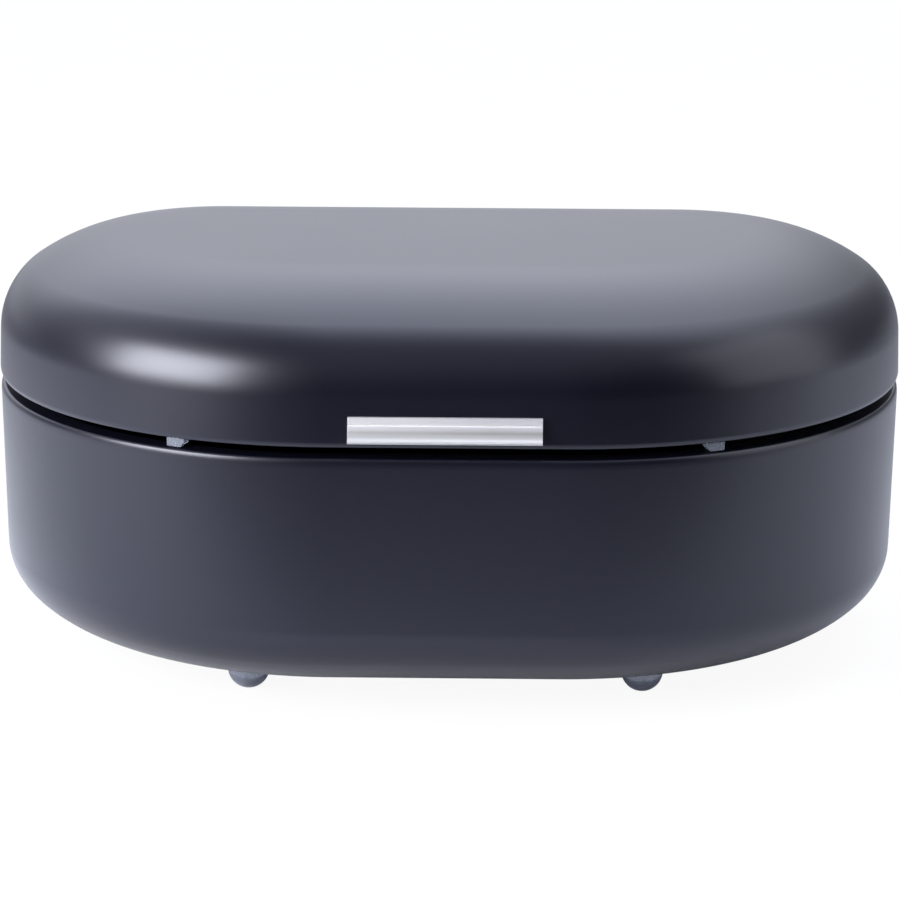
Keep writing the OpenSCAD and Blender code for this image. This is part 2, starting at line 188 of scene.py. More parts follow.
class BREADBIN_PG_pull(bpy.types.PropertyGroup):
    """Drawn aluminium pull on the front of the lid"""

    colour: FloatVectorProperty(
        name="Colour", description="Colour of the bare aluminium", subtype="COLOR",
        default=(0.83, 0.83, 0.85), min=0, max=1)
    roughness: FloatProperty(
        name="Roughness", description="Roughness of the drawn surface", subtype="FACTOR",
        default=0.5, min=0, max=1)
    plate_t: FloatProperty(
        name="Strip thickness", description="Thickness of the flat upper strip", unit="LENGTH",
        default=1.6 * MM, min=0.5 * MM, max=3 * MM)
    step_h: FloatProperty(
        name="Step height", description="Height of the step above the lower edge", unit="LENGTH",
        default=7 * MM, min=4 * MM, max=9 * MM)
    grip_t: FloatProperty(
        name="Grip thickness", description="Thickness of the grip under the step", unit="LENGTH",
        default=3 * MM, min=2 * MM, max=4 * MM)
    hollow_r: FloatProperty(
        name="Hollow radius", description="Radius of the hollow above the lip", unit="LENGTH",
        default=5 * MM, min=3 * MM, max=8 * MM)
    hollow_drop: FloatProperty(
        name="Hollow drop", description="Middle of the hollow below the step", unit="LENGTH",
        default=1.3 * MM, min=0.5 * MM, max=3 * MM)
    lip_r: FloatProperty(
        name="Lip radius", description="Rounding of the tip of the lip", unit="LENGTH",
        default=0.5 * MM, min=0.2 * MM, max=1 * MM)
    finger_r: FloatProperty(
        name="Finger groove radius", description="Radius of the groove under the lip", unit="LENGTH",
        default=2.4 * MM, min=1 * MM, max=4 * MM)
    finger_depth: FloatProperty(
        name="Finger groove depth", description="Depth of the groove under the lip", unit="LENGTH",
        default=1 * MM, min=0.2 * MM, max=2 * MM)
    finger_shift: FloatProperty(
        name="Finger groove shift", description="From the middle of the underside to the wall",
        unit="LENGTH", default=0.4 * MM, min=0, max=1 * MM)
    edge_r: FloatProperty(
        name="Edge radius", description="Rounding of the long edges", unit="LENGTH",
        default=0.35 * MM, min=0.02 * MM, max=0.4 * MM)
    stand_off: FloatProperty(
        name="Stand-off", description="How far the leaning wall carries the pull out", unit="LENGTH",
        default=0.7 * MM, min=0, max=2 * MM)


class BREADBIN_PG_rubber(bpy.types.PropertyGroup):
    """Clear rubber of the lid bumpers and the feet"""

    colour: FloatVectorProperty(
        name="Colour", description="Tint of the clear rubber", subtype="COLOR",
        default=(0.26, 0.285, 0.36), min=0, max=1)
    roughness: FloatProperty(
        name="Roughness", description="Roughness of the moulded surface", subtype="FACTOR",
        default=0.22, min=0, max=1)
    bumper_l: FloatProperty(
        name="Bumper length", description="Length of a bumper along the seam", unit="LENGTH",
        default=8.6 * MM, min=5 * MM, max=16 * MM)
    bumper_d: FloatProperty(
        name="Bumper depth", description="Depth of a bumper across the seam", unit="LENGTH",
        default=4.8 * MM, min=3 * MM, max=8 * MM)
    bumper_slope: FloatProperty(
        name="Bumper slope", description="Size of the slope on the corner next to the pull",
        unit="LENGTH", default=2.2 * MM, min=0.5 * MM, max=3.5 * MM)
    bumper_turn: FloatProperty(
        name="Bumper turn", description="How far a bumper is turned sideways", unit="ROTATION",
        default=math.radians(24), min=0, max=math.radians(60))
    bumper_edge_r: FloatProperty(
        name="Bumper edge", description="Rounding of the edges of a bumper", unit="LENGTH",
        default=0.45 * MM, min=0.05 * MM, max=1 * MM)
    stem_r: FloatProperty(
        name="Bumper stem", description="Radius of the stem through the hem", unit="LENGTH",
        default=1.2 * MM, min=0.5 * MM, max=1.4 * MM)
    stem_shift: FloatProperty(
        name="Stem shift", description="How far the stem lies behind the middle of the bumper",
        unit="LENGTH", default=0.8 * MM, min=0, max=2 * MM)
    head_over: FloatProperty(
        name="Head overlap", description="How far the head spreads past the stem", unit="LENGTH",
        default=0.7 * MM, min=0.2 * MM, max=1 * MM)
    head_h: FloatProperty(
        name="Head height", description="Height of the domed head inside the lid", unit="LENGTH",
        default=2.4 * MM, min=1 * MM, max=4 * MM)
    foot_r: FloatProperty(
        name="Foot radius", description="Radius of a domed foot", unit="LENGTH",
        default=(FOOT_HIGH.x - FOOT_LOW.x) / 2, min=5 * MM, max=15 * MM)
    foot_flat_r: FloatProperty(
        name="Foot flat", description="Radius of the flat on the table", unit="LENGTH",
        default=2.4 * MM, min=1 * MM, max=5 * MM)
    foot_edge_r: FloatProperty(
        name="Foot edge", description="Rounding of the upper edge of a foot", unit="LENGTH",
        default=0.7 * MM, min=0.1 * MM, max=1.5 * MM)
    foot_neck_r: FloatProperty(
        name="Foot neck", description="Radius of the neck through the floor of the tub", unit="LENGTH",
        default=3 * MM, min=2 * MM, max=4 * MM)
    foot_head_over: FloatProperty(
        name="Foot head overlap", description="How far the head spreads past the neck", unit="LENGTH",
        default=1.4 * MM, min=0.5 * MM, max=2 * MM)
    foot_head_h: FloatProperty(
        name="Foot head height", description="Height of the domed head inside the tub", unit="LENGTH",
        default=2.2 * MM, min=1 * MM, max=4 * MM)


class BREADBIN_PG_hinges(bpy.types.PropertyGroup):
    """Plated steel hinges, rivets and screws"""

    colour: FloatVectorProperty(
        name="Colour", description="Colour of the plated steel", subtype="COLOR",
        default=(0.40, 0.41, 0.43), min=0, max=1)
    roughness: FloatProperty(
        name="Roughness", description="Roughness of the plated steel", subtype="FACTOR",
        default=0.34, min=0, max=1)
    edge_r: FloatProperty(
        name="Edge radius", description="Rounding of the cut edges of the leaves", unit="LENGTH",
        default=0.16 * MM, min=0.02 * MM, max=0.3 * MM)


class BREADBIN_PG_studio(bpy.types.PropertyGroup):
    """Floor, lights and camera"""

    floor_w: FloatProperty(
        name="Floor", description="Width of the square floor", unit="LENGTH", default=7, min=2, max=20)
    floor_colour: FloatVectorProperty(
        name="Floor tone", description="Colour of the pale floor", subtype="COLOR",
        default=(0.62, 0.635, 0.68), min=0, max=1)
    # painted light: the floor is painted paler round the object
    floor_painted_glow: FloatVectorProperty(
        name="Floor at the feet", description="Colour of the floor close to the object",
        subtype="COLOR", default=(0.83, 0.845, 0.92), min=0, max=1)
    # painted shade: the dark floor far from the object, which only reflections see
    floor_painted_dark: FloatVectorProperty(
        name="Floor in the dark", description="Colour of the floor far before the object",
        subtype="COLOR", default=(0.01, 0.01, 0.01), min=0, max=1)
    floor_grain: FloatProperty(
        name="Floor grain", description="Width of the soft patches of the floor", unit="LENGTH",
        default=20 * MM, min=1 * MM, max=1)
    sky_colour: FloatVectorProperty(
        name="Sky tint", description="Tint of the light from above", subtype="COLOR",
        default=(0.88, 0.91, 1.0), min=0, max=1)
    sky_strength: FloatProperty(
        name="Sky light", description="Strength of the light from above and behind",
        default=4.6, min=0, max=20)
    key_power: FloatProperty(
        name="Key light", description="Power of the softbox on the left", unit="POWER",
        default=34, min=0, max=200)
    fill_power: FloatProperty(
        name="Fill light", description="Power of the softbox on the right", unit="POWER",
        default=6.4, min=0, max=200)
    aim: FloatVectorProperty(
        name="Aim", description="Point the camera is aimed at", subtype="TRANSLATION",
        default=(0.5 * MM, 27.6 * MM, 87 * MM))
    distance: FloatProperty(
        name="Distance", description="From the aim to the camera", unit="LENGTH",
        default=1.32, min=0.5, max=5)
    elevation: FloatProperty(
        name="Elevation", description="Height angle of the camera", unit="ROTATION",
        default=math.radians(15.19), min=0, max=math.radians(80))
    azimuth: FloatProperty(
        name="Azimuth", description="Side angle of the camera", unit="ROTATION",
        default=math.radians(0.56), min=-math.pi, max=math.pi)
    roll: FloatProperty(
        name="Roll", description="Tilt of the camera about its own axis", unit="ROTATION",
        default=math.radians(0.32), min=-0.2, max=0.2)
    lens: FloatProperty(
        name="Lens", description="Focal length on a 36 mm sensor", unit="CAMERA",
        default=110.5, min=20, max=300)
    lens_shift: FloatProperty(
        name="Shift", description="Vertical shift of the lens", default=-0.0137, min=-0.1, max=0.1)


# ---------------------------------------------------------------- shader maths

class Socket:
    """One output of a shader node, which plain arithmetic can use"""

    def __init__(self, finish, output):
        self.finish = finish
        self.output = output

    def maths(self, operation, first, second):
        return self.finish.add("ShaderNodeMath", {"operation": operation}, {0: first, 1: second})

    def __add__(self, other):
        return self.maths("ADD", self, other)

    def __sub__(self, other):
        return self.maths("SUBTRACT", self, other)

    def __mul__(self, other):
        return self.maths("MULTIPLY", self, other)

    def __truediv__(self, other):
        return self.maths("DIVIDE", self, other)

    def __pow__(self, other):
        return self.maths("POWER", self, other)

    def __rsub__(self, other):
        return self.maths("SUBTRACT", other, self)

    __radd__ = __add__
    __rmul__ = __mul__


class Finish:
    """The node tree of one material or world"""

    def __init__(self, owner):
        owner.use_nodes = True
        self.tree = owner.node_tree
        self.tree.nodes.clear()

    def add(self, kind, settings=None, inputs=None, output=0):
        """Adds a node, sets its settings, then its sockets, and returns one of its outputs"""
        node = self.tree.nodes.new(kind)
        for name, value in (settings or {}).items():
            setattr(node, name, value)
        for key, value in (inputs or {}).items():
            if isinstance(value, Socket):
                self.tree.links.new(value.output, node.inputs[key])
            else:
                node.inputs[key].default_value = value
        return Socket(self, node.outputs[output]) if node.outputs else None

    def place(self, stretch=(1, 1, 1)):
        """Object coordinates, stretched"""
        whole = self.add("ShaderNodeTexCoord", output="Object")
        return self.add("ShaderNodeMapping", {}, {"Vector": whole, "Scale": stretch})

    def noise(self, place, size, detail=2.0):
        """Soft noise with features of about the given size in metres"""
        return self.add("ShaderNodeTexNoise", {},
                        {"Vector": place, "Scale": 1 / size, "Detail": detail})

    def parts(self, vector, *axes):
        """The named parts of a vector"""
        split = self.add("ShaderNodeSeparateXYZ", {}, {0: vector}).output.node
        return [Socket(self, split.outputs[axis]) for axis in axes]

    def mix(self, factor, first, second):
        """A colour between two colours"""
        return self.add("ShaderNodeMix", {"data_type": "RGBA"},
                        {0: factor, 6: opaque(first), 7: opaque(second)}, output=2)

    def limits(self, value, start, end, low, high):
        """Smooth change from low to high while the value goes from start to end"""
        return self.add("ShaderNodeMapRange", {"interpolation_type": "SMOOTHSTEP"},
                        {0: value, 1: start, 2: end, 3: low, 4: high})

    def bump(self, height, depth):
        """A normal for ripples of the given depth in metres"""
        return self.add("ShaderNodeBump", {},
                        {"Height": height, "Distance": depth, "Strength": 1.0})

    def seen(self):
        """One where the camera looks, straight or through clear rubber, and zero elsewhere"""
        straight = self.add("ShaderNodeLightPath", output="Is Camera Ray")
        through = self.add("ShaderNodeLightPath", output="Is Transmission Ray")
        return straight + through

    def surface(self, inputs):
        shader = self.add("ShaderNodeBsdfPrincipled", {}, inputs)
        self.add("ShaderNodeOutputMaterial", {}, {"Surface": shader})


def opaque(colour):
    return colour if isinstance(colour, Socket) else (*colour[:3], 1)


def shade(colour, level):
    return tuple(level * c for c in colour)


def new_finish(name):
    material = bpy.data.materials.new(name)
    return material, Finish(material)


def coat_material(coat):
    """Satin powder coat: slow drift of tone, fine powder grain and faint orange peel"""
    drift_size = 90 * MM
    grain_share = 0.25    # of the peel's height
    material, finish = new_finish("satin_black_powder")
    place = finish.place()
    drift = finish.noise(place, drift_size, detail=1)
    peel = finish.noise(place, coat.peel_size, detail=1)
    grain = finish.noise(place, coat.grain_size, detail=3)
    finish.surface({
        "Base Color": finish.mix(drift, shade(coat.colour, 0.85), shade(coat.colour, 1.15)),
        "Roughness": coat.roughness + (grain - 0.5) * 0.08 + (drift - 0.5) * 0.04,
        "IOR": 1.5,
        "Specular Tint": opaque(coat.tint),
        "Normal": finish.bump(peel + grain_share * grain, coat.peel_depth),
    })
    return material


def aluminium_material(pull):
    """Drawn aluminium: fine die lines along its length, and painted shade that darkens it down in the
    hollow
    """
    line_w = 0.16 * MM
    band_w = 1.1 * MM
    line_depth = 0.01 * MM
    hollow_shade_top = PULL_LOW.z + pull.step_h - 1 * MM
    hollow_shade_fade = 2 * MM
    material, finish = new_finish("drawn_aluminium")
    lines = finish.noise(finish.place(stretch=(0.004, 1, 1)), line_w, detail=3)
    bands = finish.noise(finish.place(stretch=(0.01, 1, 1)), band_w, detail=1)
    height, = finish.parts(finish.place(), "Z")
    # painted shade: the base colour darkens down in the hollow under the step
    hollow = finish.limits(height, hollow_shade_top, hollow_shade_top - hollow_shade_fade, 0, 0.85)
    bare = finish.mix(lines, shade(pull.colour, 0.92), shade(pull.colour, 1.07))
    finish.surface({
        "Base Color": finish.mix(hollow, bare, shade(pull.colour, 0.5)),
        "Metallic": 1.0,
        "Roughness": pull.roughness + (lines - 0.5) * 0.2 + (bands - 0.5) * 0.1,
        "Normal": finish.bump(lines + 0.5 * bands, line_depth),
    })
    return material


def rubber_material(rubber):
    """Clear moulded rubber, a little cloudy inside"""
    cloud_size = 2.5 * MM
    skin_size = 0.4 * MM
    skin_depth = 0.01 * MM
    material, finish = new_finish("moulded_rubber")
    place = finish.place()
    cloud = finish.noise(place, cloud_size, detail=2)
    skin = finish.noise(place, skin_size, detail=2)
    finish.surface({
        "Base Color": finish.mix(cloud, shade(rubber.colour, 0.85), shade(rubber.colour, 1.15)),
        "Roughness": rubber.roughness + (skin - 0.5) * 0.12,
        "IOR": 1.45,
        "Transmission Weight": 0.6,
        "Normal": finish.bump(skin, skin_depth),
    })
    return material


def steel_material(hinges):
    """Zinc-plated steel: mottled plating over faint rolling lines"""
    line_w = 0.2 * MM
    mottle_size = 1.8 * MM
    plating_depth = 0.006 * MM
    material, finish = new_finish("zinc_on_steel")
    lines = finish.noise(finish.place(stretch=(0.02, 1, 1)), line_w, detail=2)
    mottle = finish.noise(finish.place(), mottle_size, detail=2)
    finish.surface({
        "Base Color": finish.mix(mottle, shade(hinges.colour, 0.86), shade(hinges.colour, 1.1)),
        "Metallic": 1.0,
        "Roughness": hinges.roughness + (mottle - 0.5) * 0.16 + (lines - 0.5) * 0.1,
        "Normal": finish.bump(lines + mottle, plating_depth),
    })
    return material


# ---------------------------------------------------------------- modelling helpers

def select_none():
    if bpy.context.object and bpy.context.object.mode != "OBJECT":
        bpy.ops.object.mode_set(mode="OBJECT")
    bpy.ops.object.select_all(action="DESELECT")


def select_only(piece):
    select_none()
    piece.select_set(True)
    bpy.context.view_layer.objects.active = piece


def settle():
    """Leaves the active object at the origin, unturned and unscaled"""
    bpy.ops.object.transform_apply(location=True, rotation=True, scale=True)


def merge_and_face_out():
    """In edit mode: merges doubled points and points every face outwards"""
    bpy.ops.mesh.select_all(action="SELECT")
    bpy.ops.mesh.remove_doubles(threshold=MERGE)
    bpy.ops.mesh.normals_make_consistent(inside=False)


def pick_edges(piece, chosen):
    """In edit mode: selects only the edges for which chosen(first, second) holds"""
    bpy.ops.mesh.select_all(action="DESELECT")
    bpy.ops.mesh.select_mode(type="EDGE")
    mesh = bmesh.from_edit_mesh(piece.data)
    for edge in mesh.edges:
        edge.select_set(bool(chosen(*(v.co for v in edge.verts))))
    bmesh.update_edit_mesh(piece.data)


def round_edges(piece, radius, segments=3, angle=35):
    """Rounds every edge sharper than the angle and smooths the rest"""
    select_only(piece)
    bevel = piece.modifiers.new("rounding", "BEVEL")
    bevel.width = radius
    bevel.segments = segments
    bevel.limit_method = "ANGLE"
    bevel.angle_limit = math.radians(angle)
    bpy.ops.object.modifier_apply(modifier=bevel.name)
    bpy.ops.object.shade_smooth_by_angle(angle=math.radians(angle))
    even = piece.modifiers.new("even_shading", "WEIGHTED_NORMAL")
    even.keep_sharp = True
    bpy.ops.object.modifier_apply(modifier=even.name)


def hand_over(piece, body, slot, material, *nodes):
    """Gives a finished piece its material and its body, and hides the CAD nodes it stands for"""
    piece.data.materials.clear()
    piece.data.materials.append(material)
    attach(piece, body)
    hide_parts(*nodes)


class Outline:
    """A section drawn point by point in edit mode, in the plane of two directions"""

    def __init__(self, name, origin, across, up, start):
        self.origin = Vector(origin)
        self.across = Vector(across)
        self.up = Vector(up)
        self.tip = self.point(start)
        select_none()
        bpy.ops.mesh.primitive_plane_add(size=MM, location=self.tip)
        self.piece = bpy.context.object
        self.piece.name = name
        settle()
        bpy.ops.object.mode_set(mode="EDIT")
        bpy.ops.mesh.select_mode(type="VERT")
        bpy.ops.mesh.select_all(action="SELECT")
        bpy.ops.mesh.merge(type="CENTER")

    def point(self, place):
        """The point in space of a place in the section"""
        return self.origin + place[0] * self.across + place[1] * self.up

    def line(self, *places):
        """Straight lines to the places, one after the other"""
        for place in places:
            end = self.point(place)
            bpy.ops.mesh.extrude_vertices_move(TRANSFORM_OT_translate={"value": end - self.tip})
            self.tip = end

    def arc(self, centre, degrees, steps):
        """An arc about the centre, positive from the first direction to the second"""
        middle = self.point(centre)
        axis = self.across.cross(self.up)
        turn = math.radians(degrees)
        bpy.ops.mesh.spin(steps=steps, angle=-turn, center=middle, axis=axis)
        self.tip = middle + Matrix.Rotation(turn, 3, axis) @ (self.tip - middle)

    def dome(self, radius, height, base):
        """A dome from the outline's tip up to its axis"""
        ball_r = (radius ** 2 + height ** 2) / (2 * height)
        centre = base + height - ball_r
        rim = math.degrees(math.atan2(base - centre, radius))
        self.arc((0, centre), 90 - rim, DOME_STEPS)

    def carry_round(self, half_w, front_r, rear_r):
        """Carries the open section once round the plan and closes what is left open"""
        bpy.ops.mesh.select_all(action="SELECT")
        front_x = half_w - front_r
        rear_x = half_w - rear_r
        self.turn_corner(front_x, FRONT_STEPS)
        self.turn_corner(rear_x, REAR_STEPS)
        bpy.ops.mesh.extrude_region_move(TRANSFORM_OT_translate={"value": (-2 * rear_x, 0, 0)})
        self.turn_corner(-rear_x, REAR_STEPS)
        self.turn_corner(-front_x, FRONT_STEPS)
        bpy.ops.mesh.extrude_region_move(TRANSFORM_OT_translate={"value": (2 * front_x, 0, 0)})
        bpy.ops.mesh.select_all(action="SELECT")
        bpy.ops.mesh.remove_doubles(threshold=MERGE)
        bpy.ops.mesh.fill_holes(sides=0)
        return self.close()

    def turn_corner(self, x, steps):
        """Turns what is selected through one corner, round an upright axis at x"""
        bpy.ops.mesh.spin(steps=steps, angle=-math.pi / 2, center=(x, self.origin.y, 0), axis=UP)

    def pull_out(self, travel):
        """Closes the section and extrudes it into a solid"""
        bpy.ops.mesh.select_all(action="SELECT")
        bpy.ops.mesh.remove_doubles(threshold=MERGE)
        bpy.ops.mesh.edge_face_add()
        bpy.ops.mesh.extrude_region_move(TRANSFORM_OT_translate={"value": travel})
        return self.close()

    def turn_round(self, steps):
        """Turns the open section once round its own upright axis"""
        bpy.ops.mesh.select_all(action="SELECT")
        bpy.ops.mesh.spin(steps=steps, angle=2 * math.pi, center=self.origin, axis=self.up)
        return self.close()

    def close(self):
        """Leaves edit mode with a closed piece whose faces point outwards"""
        merge_and_face_out()
        bpy.ops.object.mode_set(mode="OBJECT")
        return self.piece


def facing(angle):
    """Direction in a section, as an angle up from the level"""
    return Vector((math.cos(angle), math.sin(angle)))


def pressed_pan(name, shells, box, up, curve, bends, flange_w, lean):
    """A pan pressed from one sheet: flange, bends, leaning wall and a curve into the flat end"""
    low, high = box
    reach, rise, side_r = curve
    sheet = shells.sheet_t
    wall = shells.front_r
    height = high.z - low.z
    half_w = (high.x - low.x) / 2
    end_r = ((reach - side_r) ** 2 + rise ** 2 - side_r ** 2) / (2 * (rise - side_r))
    join = math.degrees(math.atan2(end_r - rise, reach - side_r))
    tilt = math.degrees(lean)
    side_centre = Vector((wall - side_r, height - rise))
    end_centre = (wall - reach, height - end_r)
    top = side_centre + side_r * facing(lean)

    radii, turns = zip(*bends)
    angles = [lean]
    for turn in turns[:-1]:
        angles.append(angles[-1] - math.radians(turn))
    angles.append(-math.pi / 2)
    steps = list(zip(radii, angles, angles[1:]))
    bend_h = sum(radius * (math.sin(start) - math.sin(end)) for radius, start, end in steps)
    foot = Vector((top.x + (top.y - bend_h) * math.tan(lean), bend_h))
    edge_x = foot.x
    flange_x = edge_x - flange_w
    place = foot
    arcs = []
    for radius, start, end in steps:
        centre = place - radius * facing(start)
        arcs.append((centre, math.degrees(start - end)))
        place = centre + radius * facing(end)

    rim_z = low.z if up.z > 0 else high.z
    outline = Outline(name, (half_w - wall, low.y + wall, rim_z), FORWARD, up,
                      (wall - reach, height - sheet))
    outline.arc(end_centre, join - 90, END_STEPS)
    outline.arc(side_centre, tilt - join, SIDE_STEPS)
    outline.line(foot - sheet * facing(lean))
    for centre, turn in arcs:
        outline.arc(centre, -turn, INNER_STEPS)
    outline.line((flange_x, sheet), (flange_x, 0), place)
    for centre, turn in reversed(arcs):
        outline.arc(centre, turn, OUTER_STEPS)
    outline.line(top)
    outline.arc(side_centre, join - tilt, SIDE_STEPS)
    outline.arc(end_centre, 90 - join, END_STEPS)
    return outline.carry_round(half_w, wall, shells.rear_r - edge_x + wall)


def punch(piece, holes):
    """Cuts round holes through a sheet; each hole is a middle, a direction and a radius"""
    cutters = []
    for middle, direction, radius in holes:
        select_none()
        turn = Vector(direction).to_track_quat("Z", "Y").to_euler()
        bpy.ops.mesh.primitive_cylinder_add(
            vertices=HOLE_STEPS, radius=radius, depth=PUNCH_L, location=middle, rotation=turn)
        cutters.append(bpy.context.object)
    for cutter in cutters:
        cutter.select_set(True)
    bpy.ops.object.join()
    tool = bpy.context.object
    select_only(piece)
    cut = piece.modifiers.new("punch", "BOOLEAN")
    cut.operation = "DIFFERENCE"
    cut.solver = "EXACT"
    cut.object = tool
    bpy.ops.object.modifier_apply(modifier=cut.name)
    select_only(tool)
    bpy.ops.object.delete()


def softened_copy(node, name, radius):
    """A copy of a CAD node with merged points, whole flat faces and rounded edges"""
    select_only(frame["nodes"][node])
    bpy.ops.object.duplicate()
    piece = bpy.context.object
    piece.name = name
    for label in list(piece.keys()):
        del piece[label]
    piece.parent = None
    bpy.ops.mesh.customdata_custom_splitnormals_clear()
    bpy.ops.object.mode_set(mode="EDIT")
    merge_and_face_out()
    bpy.ops.mesh.dissolve_limited(angle_limit=FLAT_ANGLE)
    bpy.ops.object.mode_set(mode="OBJECT")
    round_edges(piece, radius, segments=2)
    return piece


# ---------------------------------------------------------------- pieces

class BREADBIN_OT_make_shells(bpy.types.Operator):
    """Presses the tub and the lid, punches their holes and coats them"""

    bl_idname = "bread_bin.make_shells"
    bl_label = "Make tub and lid"

    def execute(self, context):
        shells = context.scene.bread_bin_shells
        rubber = context.scene.bread_bin_rubber
        material = coat_material(context.scene.bread_bin_coat)
        tub_curve = (shells.floor_reach, shells.floor_rise, shells.floor_r)
        tub = pressed_pan("coated_tub", shells, (TUB_LOW, TUB_HIGH), -UP, tub_curve,
                          RIM_BENDS, shells.rim_flange_w, shells.tub_lean)
        punch(tub, self.tub_holes(shells, rubber))
        lid_curve = (shells.crown_reach, shells.crown_rise, shells.crown_r)
        lid = pressed_pan("coated_lid", shells, (LID_LOW, LID_HIGH), UP, lid_curve,
                          HEM_BENDS, shells.hem_flange_w, shells.lid_lean)
        punch(lid, self.lid_holes(shells, rubber))
        for piece, body, node in ((tub, "tub", "base_tub"), (lid, "lid", "lid_shell")):
            round_edges(piece, shells.edge_r, segments=2)
            hand_over(piece, body, "black_coat", material, node)
        return {"FINISHED"}

    def rivet_holes(self, shells, leaf):
        """Holes behind the rivets of both hinges, for one leaf"""
        for side in SIDES:
            low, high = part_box(f"hinge_{side}_{leaf}_rivets")
            for step in (-0.5, 0.5):
                x = (low.x + high.x) / 2 + step * shells.rivet_spacing
                yield (x, TUB_HIGH.y, (low.z + high.z) / 2), (0, 1, 0), shells.rivet_hole_r

    def tub_holes(self, shells, rubber):
        holes = list(self.rivet_holes(shells, "tub"))
        for place in FEET:
            low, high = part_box("foot_" + place)
            middle = ((low.x + high.x) / 2, (low.y + high.y) / 2, TUB_LOW.z)
            holes.append((middle, UP, rubber.foot_neck_r + HOLE_CLEAR))
        for i in range(shells.vent_count):
            x = (i - (shells.vent_count - 1) / 2) * shells.vent_pitch
            holes.append(((x, TUB_HIGH.y, TUB_HIGH.z - shells.vent_drop), (0, 1, 0), shells.vent_r))
        return holes

    def lid_holes(self, shells, rubber):
        holes = list(self.rivet_holes(shells, "lid"))
        out = shells.front_r - shells.stem_inset
        corner_x = LID_HIGH.x - shells.front_r
        for side, sign in zip(SIDES, (-1, 1)):
            low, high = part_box("pull_screw_" + side)
            screw = ((low.x + high.x) / 2, LID_LOW.y, (low.z + high.z) / 2)
            holes.append((screw, (0, 1, 0), shells.rivet_hole_r))
            stem_x = corner_x + out * math.sin(rubber.bumper_turn)
            stem_y = LID_LOW.y + shells.front_r - out * math.cos(rubber.bumper_turn)
            holes.append(((sign * stem_x, stem_y, LID_LOW.z), UP, rubber.stem_r + HOLE_CLEAR))
        return holes


class BREADBIN_OT_make_pull(bpy.types.Operator):
    """Draws the pull's section and extrudes it along the front of the lid"""

    bl_idname = "bread_bin.make_pull"
    bl_label = "Make pull"

    def execute(self, context):
        pull = context.scene.bread_bin_pull
        reach = PULL_HIGH.y - PULL_LOW.y
        height = PULL_HIGH.z - PULL_LOW.z
        lip_r = pull.lip_r
        hollow = (pull.grip_t + pull.hollow_r, pull.step_h - pull.hollow_drop)
        foot_x = reach - lip_r
        hollow_start = math.acos((hollow[0] - foot_x) / pull.hollow_r)
        hollow_foot = (foot_x, hollow[1] - pull.hollow_r * math.sin(hollow_start))
        groove_half = math.acos((pull.finger_r - pull.finger_depth) / pull.finger_r)
        groove_w = pull.finger_r * math.sin(groove_half)
        groove = ((pull.plate_t + reach) / 2 - pull.finger_shift, pull.finger_depth - pull.finger_r)
        start = (PULL_LOW.x, PULL_HIGH.y - pull.stand_off, PULL_LOW.z)
        outline = Outline("pull", start, FORWARD, UP, (0, 0))
        outline.line((groove[0] - groove_w, 0))
        outline.arc(groove, -math.degrees(2 * groove_half), 10)
        outline.line((reach - lip_r, 0))
        outline.arc((reach - lip_r, lip_r), 180, 8)
        outline.line(hollow_foot)
        outline.arc(hollow, -math.degrees(hollow_start), 18)
        outline.line((pull.grip_t, pull.step_h), (pull.plate_t, pull.step_h),
                     (pull.plate_t, height), (0, height), (0, 0))
        piece = outline.pull_out((PULL_HIGH.x - PULL_LOW.x, 0, 0))
        round_edges(piece, pull.edge_r, angle=25)
        hand_over(piece, "lid", "pull_aluminium", aluminium_material(pull), "lid_pull")
        return {"FINISHED"}


class BREADBIN_OT_make_bumpers(bpy.types.Operator):
    """Makes the two rubber bumpers under the hem of the lid"""

    bl_idname = "bread_bin.make_bumpers"
    bl_label = "Make bumpers"

    def execute(self, context):
        rubber = context.scene.bread_bin_rubber
        material = bpy.data.materials.get("moulded_rubber") or rubber_material(rubber)
        for side in SIDES:
            node = "bumper_" + side
            low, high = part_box(node)
            toward_pull = 1 if side == "left" else -1
            block_h = LID_LOW.z - low.z
            select_none()
            bpy.ops.mesh.primitive_cube_add(size=1, location=(0, 0, -block_h / 2))
            piece = bpy.context.object
            piece.name = "rubber_" + node
            piece.scale = (rubber.bumper_l, rubber.bumper_d, block_h)
            settle()
            bpy.ops.object.mode_set(mode="EDIT")
            end_x = toward_pull * rubber.bumper_l / 2
            pick_edges(piece, lambda *ends: all(
                abs(end.x - end_x) < TOUCH and end.z < -TOUCH for end in ends))
            bpy.ops.mesh.bevel(offset=rubber.bumper_slope, segments=1)
            bpy.ops.object.mode_set(mode="OBJECT")
            round_edges(piece, rubber.bumper_edge_r)
            self.add_stem(piece, rubber, high.z - LID_LOW.z)
            piece.rotation_euler = (0, 0, -toward_pull * rubber.bumper_turn)
            piece.location = ((low.x + high.x) / 2, (low.y + high.y) / 2, LID_LOW.z)
            settle()
            hand_over(piece, "lid", "clear_rubber", material, node)
        return {"FINISHED"}

    def add_stem(self, piece, rubber, top):
        """Joins the stem and the domed head that hold the bumper in the hem"""
        head_base = top - rubber.head_h
        head_r = rubber.stem_r + rubber.head_over
        stem_r = rubber.stem_r
        outline = Outline("stem", (0, rubber.stem_shift, 0), ALONG, UP, (0, -stem_r))
        outline.line((stem_r, -stem_r), (stem_r, head_base), (head_r, head_base))
        outline.dome(head_r, rubber.head_h, head_base)
        stem = outline.turn_round(STEM_STEPS)
        bpy.ops.object.shade_smooth_by_angle(angle=SMOOTH_ANGLE)
        select_only(piece)
        stem.select_set(True)
        bpy.ops.object.join()


